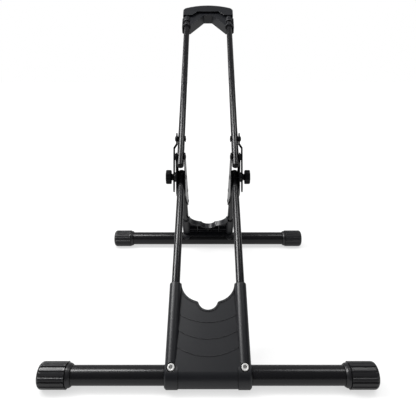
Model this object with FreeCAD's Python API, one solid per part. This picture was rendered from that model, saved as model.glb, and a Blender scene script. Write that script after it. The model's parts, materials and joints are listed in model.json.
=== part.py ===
import FreeCAD, Part
import math
import os

from FreeCAD import Placement, Rotation, Vector

# A folding floor rack that holds one bicycle by a wheel. Two foot tubes lie on the
# floor, rods in moulded cradles join them at a pair of sheet hinges, and a hoop of
# two rods with a moulded head leans out of the hinges over the wheel.
# X is the width, +Y points from the front foot to the rear foot, +Z is up.
# Every place in the side view is a pair (y, z). Millimetres and degrees.

# ---- rods and tubes
rod_spacing = 98.0
rod_d = 12.7
rod_wall = 1.6
rod_fit = 0.06
front_tube_d = 25.4
rear_tube_d = 28.0
foot_wall = 1.5
front_width = 452.0
rear_width = 434.0

# ---- side view of the frame
front_leg_angle = 35.2
front_leg_reach = 330.2
rear_leg_reach = 249.5
rear_rod_offset = 14.0
front_stub = 11.8
stop_gap = 0.3
hoop_angle = 39.9
hoop_length = 371.0
hoop_tail = 19.4
pivot_distance = 41.5
hoop_pivot_angle = 103.2
plug_dome = 2.4
plug_depth = 12.0
rod_start_gap = 3.0
dome_steps = 3

# ---- cradles
front_cradle_top = 125.0
rear_cradle_top = 88.0
rear_sleeve_drop = 13.0
sleeve_d = 17.7
saddle_cover = 4.9
rear_saddle_cover = 4.2
block_step = 1.0
saddle_skirt = 3.0
panel_top_rise = 6.0
panel_skin = 3.0
panel_depth = 6.5
terrace_step = 0.6
terrace_radius = 78.0
terrace_pitch = 22.9
first_terrace_drop = 60.8
rim_width = 2.6
rim_proud = 0.8
basin_depth = 30.0
basin_radius = 30.5
notch_radius = 14.4
notch_depth = 12.4
shoulder_radius = 5.0
cradle_rib = 2.0
cradle_rib_pitch = 24.0
cradle_rib_rows = 2
mouth_round = 2.2
block_edge = 2.2
tongue_rise = -1.0
bore_floor = 1.0

# ---- screws of the cradles
screw_station = 6.0
screw_d = 6.0
screw_head_d = 9.6
screw_head_height = 5.0
screw_hex = 5.0
screw_hex_depth = 3.0
screw_length = 18.0
screw_recess_d = 12.4
screw_seat_wall = 1.8
screw_edge = 0.8

# ---- rubber end caps
front_cap_d = 34.6
rear_cap_d = 36.4
cap_length = 44.0
cap_end = 6.0
cap_round = 6.5
cap_collar = 6.7
cap_collar_wall = 3.0
cap_collar_lip = 1.0
cap_round_steps = 3
cap_lands = 16
cap_groove_share = 0.24
cap_groove_depth = 1.1

# ---- sheet hinges
plate = 2.0
plate_gap = 0.3
plate_pivot_round = 8.0
plate_nose_round = 12.0
plate_nose_angle = 243.4
plate_nose_distance = 22.4
plate_tail_round = 9.0
first_rivet_station = 63.5
rivet_pitch = 38.5
rivet_d = 5.0
rivet_head_d = 8.0
rivet_head = 1.1
pivot_pin_d = 6.0
pin_fit = 0.05
pin_head_d = 9.5
pin_head = 1.2
flat_head_d = 12.0
flat_head = 1.2

# ---- slotted stays, studs and knobs
stay = 2.0
stay_width = 16.0
stay_above = 11.2
stay_below = 98.6
stay_standoff = 1.2
stay_offset = 4.9
joggle_start = 10.0
joggle_run = 7.5
slot_start = 45.8
slot_end = 83.6
slot_play = 0.3
stay_bolt_head_d = 10.4
stay_bolt_head = 2.9
stay_bolt_hex = 4.0
stay_bolt_floor = 1.2
stay_bolt_tip = 0.3
nut_flats = 10.0
nut_height = 1.8
spacer_d = 18.0
knob_washer_d = 14.0
knob_washer = 1.0
running_gap = 0.1
knob_d = 26.6
knob_height = 9.8
knob_boss_d = 12.0
knob_boss = 2.5
knob_lobes = 8
knob_lobe_depth = 1.0
knob_edge = 1.8
knob_rim = 3.5
knob_dish = 0.9
insert_d = 9.0
insert_height = 8.0

# ---- head
head_half_width = 58.7
head_front = 4.0
head_back = 19.0
head_socket_d = 15.6
vee_half_foot = 41.8
vee_half_top = 9.7
vee_depth = 41.0
head_socket_depth = 50.0
head_skirt_half = 60.2
head_pocket_depth = 18.0
head_pocket_wall = 1.7
head_lip = 5.0
head_side_round = 7.5
cap_side_start = 34.3
cap_middle_start = 48.0
cap_slope_foot = 37.1
cap_slope_top = 24.7
cap_crown = 72.8
cap_shoulder = 63.5
cap_corner = 11.0
cap_wall = 1.7
cap_edge = 1.8
seat_gap = 0.15
head_screw_station = 27.5
head_screw_d = 4.0
head_screw_head_d = 7.6
head_screw_head = 2.4

side_x = rod_spacing / 2
rod_r = rod_d / 2
sleeve_r = sleeve_d / 2
SIDES = (("left", -1), ("right", 1))


def direction(angle):
    """Unit vector in the side view at an elevation measured from +Y."""
    return math.cos(math.radians(angle)), math.sin(math.radians(angle))


def along(point, angle, length, rise=0.0):
    """The point that lies length along a direction and rise to its left."""
    c, s = direction(angle)
    return point[0] + length * c - rise * s, point[1] + length * s + rise * c


# ---- places in the side view
front_rise = front_tube_d / 2 + saddle_cover - sleeve_r
rear_rise = rear_tube_d / 2 + rear_saddle_cover - sleeve_r
front_foot = (0.0, front_cap_d / 2)
front_knee = along(front_foot, front_leg_angle, front_leg_reach, front_rise)
rear_lift = front_knee[1] - rear_cap_d / 2
rear_span = math.sqrt(rear_leg_reach ** 2 - rear_lift ** 2)
rear_foot = (front_knee[0] + rear_span, rear_cap_d / 2)
knee_slope = math.degrees(math.atan2(rear_lift, rear_span))
rear_turn = math.degrees(math.asin((rear_rod_offset - rear_rise) / rear_leg_reach))
rear_rod_angle = knee_slope + rear_turn
hoop_pivot = along(front_knee, hoop_pivot_angle, pivot_distance)
stay_pivot = along(hoop_pivot, hoop_angle, pivot_distance)
stay_slope = math.degrees(
    math.atan2(front_knee[1] - stay_pivot[1], front_knee[0] - stay_pivot[0]))

# How far the front rod leans on the end of the rear rod, its stop.
stub_lean = math.radians(90 - front_leg_angle - rear_rod_angle)
rear_end_station = (rod_r / math.cos(stub_lean) + front_stub * abs(math.tan(stub_lean))
                    + stop_gap)

# The cap's faces in front of and behind the axis of the hoop rods.
cap_front = head_socket_d / 2 + seat_gap + cap_wall
cap_back = head_back + seat_gap + cap_wall

# Layers across the width, measured from the axis of a rod towards the outside.
plate_inside = rod_r + plate_gap
plate_outside = plate_inside + plate
stay_low = rod_r + stay_standoff
stay_high = stay_low + stay_offset
knob_seat = stay_high + stay + knob_washer + 2 * running_gap


# ---- small helpers
def cylinder(radius, start, end):
    """A cylinder between two points."""
    axis = end.sub(start)
    return Part.makeCylinder(radius, axis.Length, start, axis)


def cross(point, x_from, x_to, radius):
    """A cylinder across the width at a point of the side view."""
    return cylinder(radius, Vector(x_from, *point), Vector(x_to, *point))


def lathe(points, start, axis):
    """Turn a profile of (radius, height) points about an axis from start."""
    wire = Part.makePolygon([Vector(r, 0, h) for r, h in points + points[:1]])
    solid = Part.Face(wire).revolve(Vector(0, 0, 0), Vector(0, 0, 1), 360)
    solid.Placement = Placement(start, Rotation(Vector(0, 0, 1), axis))
    return solid


def domed(radius, height, start, axis):
    """A low dome of a few cone bands with a flat base of the given radius at start."""
    points = [(0, 0)]
    for k in range(dome_steps + 1):
        share = 1 - k / dome_steps
        points.append((radius * share, height * (1 - share ** 2)))
    return lathe(points, start, axis)


def hexagon(flats, height, start, axis):
    """A hexagonal prism with its base centred at start."""
    r = flats / math.sqrt(3)
    corners = [Vector(r * math.cos(k * math.pi / 3), r * math.sin(k * math.pi / 3), 0)
               for k in range(7)]
    solid = Part.Face(Part.makePolygon(corners)).extrude(Vector(0, 0, height))
    solid.Placement = Placement(start, Rotation(Vector(0, 0, 1), axis))
    return solid


def tube(radius, wall, start, end):
    """A round tube between two points."""
    return cylinder(radius, start, end).cut(cylinder(radius - wall, start, end))


def box(x_half, y_from, y_to, z_from, z_to, x_middle=0.0):
    """A box that is centred across the width."""
    corner = Vector(x_middle - x_half, y_from, z_from)
    return Part.makeBox(2 * x_half, y_to - y_from, z_to - z_from, corner)


def hull(circles):
    """The face round a ring of circles, each (centre, radius), counterclockwise."""
    edges = []
    count = len(circles)
    touch = []
    for k in range(count):
        (p, r), (q, s) = circles[k], circles[(k + 1) % count]
        heading = math.atan2(q[1] - p[1], q[0] - p[0])
        lean = math.asin((r - s) / math.hypot(q[0] - p[0], q[1] - p[1]))
        touch.append(heading - math.pi / 2 + lean)
    for k in range(count):
        (p, r), (q, s) = circles[k], circles[(k + 1) % count]
        before, after = touch[k - 1], touch[k]
        while after < before:
            after += 2 * math.pi
        rim = [Vector(0, p[0] + r * math.cos(t), p[1] + r * math.sin(t))
               for t in (before, (before + after) / 2, after)]
        edges.append(Part.Arc(*rim).toShape())
        far = Vector(0, q[0] + s * math.cos(after), q[1] + s * math.sin(after))
        edges.append(Part.LineSegment(rim[2], far).toShape())
    return Part.Face(Part.Wire(edges))


def placed(shape, angle, point, mirrored=False):
    """Turn a shape made along +Y up by an angle and move it to a side view point."""
    turn = Rotation(Vector(1, 0, 0), angle)
    if mirrored:
        turn = Rotation(Vector(0, 0, 1), 180).multiply(turn)
    shape = shape.copy()
    shape.Placement = Placement(Vector(0, *point), turn).multiply(shape.Placement)
    return shape


# ---- rods, plugs and feet
def rod(x, start, angle, length, holes, fit=pin_fit):
    """A rod as a tube, with holes across it at stations (station, diameter)."""
    end = along(start, angle, length)
    shape = tube(rod_r, rod_wall, Vector(x, *start), Vector(x, *end))
    for station, size in holes:
        point = along(start, angle, station)
        shape = shape.cut(cross(point, x - rod_d, x + rod_d, size / 2 + fit))
    return shape


def plug(x, point, angle, pin_free, dome=plug_dome):
    """A moulded plug in the end of a rod, domed outwards along the angle."""
    mouth = Vector(x, *point)
    foot = Vector(x, *along(point, angle, -min(plug_depth, pin_free)))
    shape = cylinder(rod_r - rod_wall - rod_fit, foot, mouth)
    if dome:
        shape = shape.fuse(domed(rod_r, dome, mouth, Vector(0, *direction(angle))))
    return shape


def foot_tube(point, width, diameter, angle, mirrored):
    """A foot tube with a clearance hole at each cradle screw."""
    half = width / 2 - cap_end
    shape = tube(diameter / 2, foot_wall, Vector(-half, *point), Vector(half, *point))
    for x in (-side_x, side_x):
        hole = cylinder(screw_d / 2 + rod_fit, Vector(x, screw_station, 0),
                        Vector(x, screw_station, diameter))
        shape = shape.cut(placed(hole, angle, point, mirrored))
    return shape


def star(x, radii, pitch, scale):
    """A closed ring of corners at x: each pitch has (turn, radius) pairs."""
    corners = []
    for k in range(round(2 * math.pi / pitch)):
        for turn, radius in radii:
            angle = k * pitch + turn
            corners.append(Vector(x, scale * radius * math.cos(angle),
                                  scale * radius * math.sin(angle)))
    return Part.makePolygon(corners + corners[:1])


def end_cap(side, point, width, diameter, tube_d):
    """A rubber cap with flat lands between straight grooves and a rounded end."""
    pitch = 2 * math.pi / cap_lands
    half_land = math.atan(math.tan(pitch / 2) * (1 - cap_groove_share))
    corner_r = diameter / 2 / math.cos(half_land)
    radii = [(-half_land, corner_r), (half_land, corner_r),
             (pitch / 2, diameter / 2 - cap_groove_depth)]
    ribbed = cap_length - cap_collar
    rings = []
    for k in range(cap_round_steps + 1):
        turn = math.pi / 2 * k / cap_round_steps
        drawn_in = cap_round * (1 - math.sin(turn))
        rings.append(star(cap_round * (1 - math.cos(turn)), radii, pitch,
                          1 - drawn_in / corner_r))
    rings.append(star(ribbed, radii, pitch, 1))
    collar = lathe([(0, ribbed), (tube_d / 2 + cap_collar_wall, ribbed),
                    (tube_d / 2 + cap_collar_lip, cap_length), (0, cap_length)],
                   Vector(0, 0, 0), Vector(1, 0, 0))
    shape = Part.makeLoft(rings, True, True).fuse(collar)
    shape = shape.cut(cylinder(tube_d / 2 + rod_fit, Vector(cap_end, 0, 0),
                               Vector(2 * cap_length, 0, 0)))
    if side > 0:
        shape = shape.mirror(Vector(0, 0, 0), Vector(1, 0, 0))
    shape.translate(Vector(side * width / 2, *point))
    return shape


# ---- cradles, built with the leg along +Y and the outer face towards +Z
def wheel_cut(top, margin, low, high):
    """The wheel's way through a cradle: a basin with a tyre notch in its floor."""
    half = side_x - sleeve_r + margin
    floor = top - basin_depth - margin
    corner = basin_radius + margin
    basin = box(half, floor, top + 2 * basin_depth, low, high)
    uprights = [e for e in basin.Edges
                if abs(e.tangentAt(e.FirstParameter).z) > 0.9
                and e.Vertexes[0].Point.y < floor + 1]
    basin = basin.makeFillet(min(corner, half - notch_radius / 2), uprights)
    middle = top - basin_depth - notch_depth + notch_radius
    notch = cylinder(notch_radius + margin, Vector(0, middle, low), Vector(0, middle, high))
    shape = basin.fuse(notch)
    shoulders = [e for e in shape.Edges
                 if abs(abs(e.Vertexes[0].Point.x) - notch_radius) < margin + 2
                 and len(e.Vertexes) == 2
                 and abs(e.Vertexes[0].Point.z - e.Vertexes[1].Point.z) > 1
                 and abs(e.Vertexes[0].Point.y - floor) < 1]
    if shoulders:
        shape = shape.makeFillet(max(shoulder_radius - margin, 0.4), shoulders)
    return shape


def cradle(top, tube_d, cover, sleeve_drop):
    """One moulding: two sleeves, a stepped panel with ribs, and a saddle."""
    sleeve_top = top - sleeve_drop
    tube_r = tube_d / 2
    block_r = tube_r + cover
    panel_r = block_r - block_step
    rise = block_r - sleeve_r
    reach = math.hypot(panel_top_rise, top)
    tilt = math.degrees(math.asin(panel_r / reach) - math.atan2(panel_top_rise, top))
    half = side_x - sleeve_r / 2

    def tilted(shape):
        shape.rotate(Vector(0, 0, 0), Vector(1, 0, 0), -tilt)
        return shape

    # Panel: a skin, its terraces, ribs behind it and a rim round the wheel's way.
    back = panel_r - panel_skin
    skin = box(half, 0, top, back, panel_r)
    terraces = []
    lowest = top - first_terrace_drop
    while lowest > screw_recess_d:
        terraces.append(lowest)
        lowest -= terrace_pitch
    for number, lowest in enumerate(reversed(terraces)):
        disc = cylinder(terrace_radius, Vector(0, lowest + terrace_radius, back),
                        Vector(0, lowest + terrace_radius,
                               panel_r + (number + 1) * terrace_step))
        skin = skin.fuse(disc.common(box(half, 0, top, back, 2 * block_r)))
    front = panel_r + len(terraces) * terrace_step + rim_proud
    rib_back = back - panel_depth
    ribs = []
    for k in (-1, 0, 1):
        ribs.append(box(cradle_rib / 2, 0, top, rib_back, back, k * cradle_rib_pitch))
    clear = top - basin_depth - notch_depth - tube_r
    for k in range(1, cradle_rib_rows + 1):
        y = tube_r + clear * k / (cradle_rib_rows + 1)
        ribs.append(box(half, y - cradle_rib / 2, y + cradle_rib / 2, rib_back, back))
    rim = wheel_cut(top, rim_width, rib_back, front)
    rim = rim.common(box(half, tube_r, top, rib_back, front))
    panel = tilted(skin.multiFuse(ribs + [rim]))
    wheel = tilted(wheel_cut(top, 0, -2 * block_r, 3 * block_r))

    # Saddle over the foot tube, a thicker block under each sleeve.
    saddle = cylinder(panel_r, Vector(-half, 0, 0), Vector(half, 0, 0))
    pieces = [panel]
    tongues = []
    bores = []
    for x in (-side_x, side_x):
        block = cylinder(block_r, Vector(x - sleeve_r, 0, 0), Vector(x + sleeve_r, 0, 0))
        ends = [e for e in block.Edges if len(e.Vertexes) == 1
                and abs(e.Vertexes[0].Point.x) > side_x]
        pieces.append(block.makeChamfer(block_edge, ends))
        sleeve = cylinder(sleeve_r, Vector(x, 0, rise), Vector(x, sleeve_top, rise))
        mouth = [e for e in sleeve.Edges if e.BoundBox.YMin > sleeve_top - 1]
        pieces.append(sleeve.makeFillet(mouth_round, mouth))
        tongue = cylinder(sleeve_r, Vector(x, 0, tongue_rise), Vector(x, block_r, tongue_rise))
        tongues.append(tongue.common(block))
        low = math.sqrt(tube_r ** 2 - (rise - rod_r) ** 2) + bore_floor
        bores.append(cylinder(rod_r + rod_fit, Vector(x, low, rise),
                              Vector(x, top + 1, rise)))
        seat = math.sqrt(tube_r ** 2 - screw_station ** 2) + screw_seat_wall
        bores.append(cylinder(screw_recess_d / 2, Vector(x, screw_station, seat),
                              Vector(x, screw_station, 2 * block_r)))
        bores.append(cylinder(screw_d / 2 + rod_fit, Vector(x, screw_station, 0),
                              Vector(x, screw_station, 2 * block_r)))
    under = box(rod_spacing, -2 * block_r, block_r, -2 * block_r, -saddle_skirt)
    over = box(rod_spacing, top, top + block_r, -block_r, 3 * block_r)
    foot_bore = cylinder(tube_r + rod_fit, Vector(-rod_spacing, 0, 0),
                         Vector(rod_spacing, 0, 0))
    body = saddle.multiFuse(pieces).cut([under, over, wheel])
    return body.multiFuse(tongues).cut([foot_bore] + bores).removeSplitter()


def cradle_screws(tube_d, angle, point, mirrored):
    """Two socket head screws that hold a cradle on its foot tube."""
    seat = math.sqrt((tube_d / 2) ** 2 - screw_station ** 2) + screw_seat_wall
    screws = []
    for x in (-side_x, side_x):
        top = Vector(x, screw_station, seat + screw_head_height)
        head = cylinder(screw_head_d / 2, Vector(x, screw_station, seat), top)
        rim = [e for e in head.Edges if e.BoundBox.ZMin > seat + screw_head_height - 0.1]
        head = head.makeChamfer(screw_edge, rim)
        shaft = cylinder(screw_d / 2, Vector(x, screw_station, seat - screw_length),
                         Vector(x, screw_station, seat + 0.5))
        socket = hexagon(screw_hex, screw_hex_depth + 1,
                         Vector(x, screw_station, top.z - screw_hex_depth),
                         Vector(0, 0, 1))
        screws.append(placed(head.fuse(shaft).cut(socket), angle, point, mirrored))
    return Part.makeCompound(screws)


# ---- hinges
rivet_points = [along(front_knee, -rear_rod_angle, t, rear_rod_offset)
                for t in (first_rivet_station, first_rivet_station + rivet_pitch)]
nose = along(front_knee, plate_nose_angle, plate_nose_distance)
plate_face = hull([(hoop_pivot, plate_pivot_round), (nose, plate_nose_round),
                   (rivet_points[-1], plate_tail_round)])


def hinge_plate(x_from):
    """A sheet plate of a hinge with its pivot, stud and rivet holes."""
    shape = plate_face.extrude(Vector(plate, 0, 0))
    shape.translate(Vector(x_from, 0, 0))
    holes = [(hoop_pivot, pivot_pin_d), (front_knee, pivot_pin_d)]
    holes += [(point, rivet_d) for point in rivet_points]
    for point, size in holes:
        shape = shape.cut(cross(point, x_from - 1, x_from + plate + 1,
                                size / 2 + pin_fit))
    return shape


def rivet(side, point, size, head_d, head):
    """A rivet through both plates: a dome on the inner side, a flat head outside."""
    x = side * side_x
    inner = x - side * plate_outside
    outer = x + side * plate_outside
    shape = cross(point, inner, outer, size / 2)
    shape = shape.fuse(domed(head_d / 2, head, Vector(inner, *point), Vector(-side, 0, 0)))
    return shape.fuse(cross(point, outer, outer + side * flat_head, flat_head_d / 2))


def stud(side):
    """The stud through the knee that the knob screws onto."""
    x = side * side_x
    inner = x - side * plate_outside
    tip = x + side * (knob_seat + insert_height)
    shape = cross(front_knee, inner, tip, pivot_pin_d / 2)
    return shape.fuse(domed(pin_head_d / 2, pin_head, Vector(inner, *front_knee),
                            Vector(-side, 0, 0)))


def ring(side, point, low, high, diameter):
    """A washer on the stud between two layers."""
    x = side * side_x
    shape = cross(point, x + side * low, x + side * high, diameter / 2)
    return shape.cut(cross(point, x, x + side * (high + 1), pivot_pin_d / 2 + pin_fit))


def stay_strip(side):
    """A strip that steps outwards past the plate, with a slot for the stud."""
    half = stay_width / 2
    run = joggle_start + joggle_run
    outline = [(-stay_above, stay_low), (joggle_start, stay_low), (run, stay_high),
               (stay_below, stay_high), (stay_below, stay_high + stay),
               (run - stay / 3, stay_high + stay),
               (joggle_start - stay / 3, stay_low + stay), (-stay_above, stay_low + stay)]
    corners = [Vector(x, y, -half) for y, x in outline + outline[:1]]
    strip = Part.Face(Part.makePolygon(corners)).extrude(Vector(0, 0, stay_width))
    bends = [e for e in strip.Edges
             if abs(e.tangentAt(e.FirstParameter).z) > 0.9
             and joggle_start - 2 < e.Vertexes[0].Point.y < run + 2]
    strip = strip.makeFillet(stay, bends)
    reach = stay_high + stay + 1
    rounding = box(half, -stay_above + half, stay_below - half, -half, half)
    shadow = Part.makeBox(reach, stay_below + stay_above - 2 * half, stay_width,
                          Vector(0, -stay_above + half, -half))
    for y in (-stay_above + half, stay_below - half):
        shadow = shadow.fuse(cylinder(half, Vector(0, y, 0), Vector(reach, y, 0)))
    strip = strip.common(shadow)
    slot_half = pivot_pin_d / 2 + slot_play
    slot = Part.makeBox(reach, slot_end - slot_start, 2 * slot_half,
                        Vector(0, slot_start, -slot_half))
    for y in (slot_start, slot_end):
        slot = slot.fuse(cylinder(slot_half, Vector(0, y, 0), Vector(reach, y, 0)))
    strip = strip.cut([slot, cylinder(pivot_pin_d / 2 + pin_fit, Vector(0, 0, 0),
                                      Vector(reach, 0, 0))])
    if side < 0:
        strip = strip.mirror(Vector(0, 0, 0), Vector(1, 0, 0))
    strip = placed(strip, stay_slope, stay_pivot)
    strip.translate(Vector(side * side_x, 0, 0))
    return strip


def stay_bolt(side):
    """The bolt through a hoop rod that a stay turns on."""
    x = side * side_x
    top = x + side * (stay_low + stay + running_gap)
    foot = x - side * (rod_r + nut_height + stay_bolt_tip)
    head = domed(stay_bolt_head_d / 2, stay_bolt_head, Vector(top, *stay_pivot),
                 Vector(side, 0, 0))
    shoulder = cross(stay_pivot, x + side * (rod_r + running_gap),
                     x + side * (stay_low - running_gap), stay_bolt_head_d / 2)
    socket = hexagon(stay_bolt_hex, stay_bolt_head,
                     Vector(top + side * stay_bolt_floor, *stay_pivot), Vector(side, 0, 0))
    return cross(stay_pivot, foot, top, pivot_pin_d / 2).multiFuse([head, shoulder]).cut(socket)


def stay_nut(side):
    """The nut of a stay bolt on the inner side of the hoop rod."""
    start = side * (side_x - rod_r)
    nut = hexagon(nut_flats, nut_height, Vector(start, *stay_pivot), Vector(-side, 0, 0))
    return nut.cut(cross(stay_pivot, start + side, start - side * (nut_height + 1),
                         pivot_pin_d / 2 + pin_fit))


def knob(side):
    """A lobed clamping knob with a boss towards the stay."""
    outer = knob_d / 2
    pitch = 2 * math.pi / knob_lobes
    valley = outer - knob_lobe_depth
    radii = [(0, outer), (pitch / 4, outer), (pitch / 2, valley), (3 * pitch / 4, outer)]
    tip = knob_boss + knob_height
    rings = [star(height, radii, pitch, scale) for height, scale in
             ((knob_boss, 1 - knob_edge / outer), (knob_boss + knob_edge, 1),
              (tip - knob_edge, 1), (tip, 1 - knob_edge / outer))]
    body = Part.makeLoft(rings, True, True)
    body.rotate(Vector(0, 0, 0), Vector(0, 1, 0), -90)
    body = body.fuse(cylinder(knob_boss_d / 2, Vector(0, 0, 0),
                              Vector(0, 0, knob_boss + knob_edge)))
    body = body.cut([cylinder(insert_d / 2, Vector(0, 0, 0), Vector(0, 0, insert_height)),
                     cylinder(outer - knob_rim, Vector(0, 0, tip - knob_dish),
                              Vector(0, 0, tip + 1))])
    return seated_on_stud(body, side)


def knob_insert(side):
    """The threaded insert of a knob."""
    shape = cylinder(insert_d / 2, Vector(0, 0, 0), Vector(0, 0, insert_height))
    shape = shape.cut(cylinder(pivot_pin_d / 2 + pin_fit, Vector(0, 0, -1),
                               Vector(0, 0, insert_height + 1)))
    return seated_on_stud(shape, side)


def seated_on_stud(shape, side):
    """Turn a piece made along +Z outwards and seat it on the knob's washer."""
    start = Vector(side * (side_x + knob_seat), *front_knee)
    shape.Placement = Placement(start, Rotation(Vector(0, 0, 1), Vector(side, 0, 0)))
    return shape


# ---- head, built with the hoop along +Y from its lower end and its face towards +Z
def cap_outline(inset):
    """The cap's front face, drawn in by an inset except at its open lower edge."""
    half = head_half_width - inset
    crown = cap_crown - inset
    side = cap_shoulder - cap_corner
    corner = cap_corner - inset
    shoulder_y = side + corner * 0.92
    shoulder_x = half - corner * 0.62
    points = [(-half, cap_side_start), (-cap_slope_foot, cap_side_start),
              (-cap_slope_top, cap_middle_start), (cap_slope_top, cap_middle_start),
              (cap_slope_foot, cap_side_start), (half, cap_side_start), (half, side)]
    edges = [Part.LineSegment(Vector(*a, 0), Vector(*b, 0)).toShape()
             for a, b in zip(points[:-1], points[1:])]
    edges.append(Part.Arc(Vector(half, side, 0),
                          Vector(half - corner * 0.17, side + corner * 0.56, 0),
                          Vector(shoulder_x, shoulder_y, 0)).toShape())
    edges.append(Part.Arc(Vector(shoulder_x, shoulder_y, 0), Vector(0, crown, 0),
                          Vector(-shoulder_x, shoulder_y, 0)).toShape())
    edges.append(Part.Arc(Vector(-shoulder_x, shoulder_y, 0),
                          Vector(-half + corner * 0.17, side + corner * 0.56, 0),
                          Vector(-half, side, 0)).toShape())
    edges.append(Part.LineSegment(Vector(-half, side, 0),
                                  Vector(-half, cap_side_start, 0)).toShape())
    return Part.Face(Part.Wire(edges))


def head_cap():
    """The crowned cap: a shell over the upper end of the head."""
    shape = cap_outline(0).extrude(Vector(0, 0, cap_front + cap_back))
    shape.translate(Vector(0, 0, -cap_back))
    rim = [e for e in shape.Edges
           if abs(e.tangentAt(e.FirstParameter).z) < 0.1
           and e.BoundBox.YMax > cap_middle_start + 1
           and e.BoundBox.ZLength < 0.1]
    shape = shape.makeChamfer(cap_edge, rim)
    hollow = cap_outline(cap_wall).extrude(
        Vector(0, 0, cap_front + cap_back - 2 * cap_wall))
    hollow.translate(Vector(0, -0.01, cap_wall - cap_back))
    return shape.cut(hollow)


def head_body():
    """Two sockets joined by a web with a vee underside that meets the tyre."""
    top = cap_shoulder - cap_wall - seat_gap
    half = head_half_width - cap_wall - seat_gap
    outline = [(-half, 0), (-vee_half_foot, 0), (-vee_half_top, vee_depth),
               (vee_half_top, vee_depth), (vee_half_foot, 0), (half, 0),
               (half, top - cap_corner), (half - cap_corner, top),
               (-half + cap_corner, top), (-half, top - cap_corner)]
    wire = Part.makePolygon([Vector(x, y, -head_back) for x, y in outline + outline[:1]])
    web = Part.Face(wire).extrude(Vector(0, 0, head_back - 0.2))
    sides = [e for e in web.Edges
             if abs(e.Vertexes[0].Point.x - e.Vertexes[1].Point.x) < 0.01
             and abs(abs(e.Vertexes[0].Point.x) - half) < 0.01
             and e.BoundBox.ZMax < -head_back + 0.1]
    web = web.makeFillet(head_side_round, sides)
    face = box(vee_half_foot + 1, 0, top, -0.3, head_front)
    vee = Part.Face(wire).extrude(Vector(0, 0, head_back + head_front + 1))
    pieces = [face.common(vee)]
    cuts = []
    socket_r = head_socket_d / 2
    pocket_r = socket_r + seat_gap
    for x in (-side_x, side_x):
        side = math.copysign(1, x)
        pieces.append(cylinder(socket_r, Vector(x, 0, 0), Vector(x, top - cap_corner, 0)))
        pieces.append(cylinder(pocket_r + head_pocket_wall, Vector(x, 0, 0),
                               Vector(x, head_lip, 0)))
        wall_half = (head_skirt_half - side_x) / 2
        wall_x = side * (side_x + wall_half)
        skirt = box(wall_half, 0, cap_side_start - seat_gap, -head_back, 0, wall_x)
        edge = [e for e in skirt.Edges if e.BoundBox.YLength > head_lip
                and abs(abs(e.Vertexes[0].Point.x) - head_skirt_half) < seat_gap
                and e.Vertexes[0].Point.z < -1]
        pieces.append(skirt.makeChamfer(head_side_round / 2, edge))
        cuts.append(cylinder(pocket_r, Vector(x, -1, 0), Vector(x, head_pocket_depth, 0)))
        cuts.append(box(wall_half - head_pocket_wall, -1, head_pocket_depth,
                        head_side_round / 2 - head_back, 0, wall_x))
        cuts.append(cylinder(rod_r + rod_fit, Vector(x, -1, 0),
                             Vector(x, head_socket_depth + seat_gap, 0)))
        cuts.append(cylinder(head_screw_d / 2 + pin_fit,
                             Vector(x, head_screw_station, -head_back - 1),
                             Vector(x, head_screw_station, 0)))
    body = web.multiFuse(pieces).cut(cuts)
    return body.removeSplitter()


def head_screws():
    """Two screws from the back that hold the hoop rods in the head."""
    screws = []
    for x in (-side_x, side_x):
        back = Vector(x, head_screw_station, -head_back)
        head = domed(head_screw_head_d / 2, head_screw_head, back, Vector(0, 0, -1))
        shaft = cylinder(head_screw_d / 2, back,
                         Vector(x, head_screw_station, -rod_r + rod_wall))
        screws.append(head.fuse(shaft))
    return Part.makeCompound(screws)


def at_hoop_end(shape):
    """Place a piece of the head at the upper end of the hoop."""
    return placed(shape, hoop_angle, along(hoop_pivot, hoop_angle, hoop_length))


# ---- the whole rack
nodes = {}
front_start = along(front_foot, front_leg_angle, front_tube_d / 2 + rod_start_gap, front_rise)
front_rod_length = front_leg_reach + front_stub - front_tube_d / 2 - rod_start_gap
front_end = along(front_start, front_leg_angle, front_rod_length)
rear_start = along(rear_foot, 180 - rear_rod_angle, rear_tube_d / 2 + rod_start_gap,
                   -rear_rise)
rear_top = along(front_knee, -rear_rod_angle, rear_end_station, rear_rod_offset)
rear_rod_length = math.dist(rear_start, rear_top)
hoop_start = along(hoop_pivot, hoop_angle, -hoop_tail)
hoop_rod_length = hoop_tail + hoop_length + head_socket_depth

nodes["front_foot_tube"] = foot_tube(front_foot, front_width, front_tube_d,
                                     front_leg_angle, False)
nodes["rear_foot_tube"] = foot_tube(rear_foot, rear_width, rear_tube_d,
                                    rear_rod_angle, True)
nodes["front_cradle"] = placed(cradle(front_cradle_top, front_tube_d, saddle_cover, 0),
                               front_leg_angle, front_foot)
nodes["rear_cradle"] = placed(cradle(rear_cradle_top, rear_tube_d, rear_saddle_cover,
                                     rear_sleeve_drop), rear_rod_angle, rear_foot, True)
nodes["front_cradle_screws"] = cradle_screws(front_tube_d, front_leg_angle, front_foot, False)
nodes["rear_cradle_screws"] = cradle_screws(rear_tube_d, rear_rod_angle, rear_foot, True)

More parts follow.
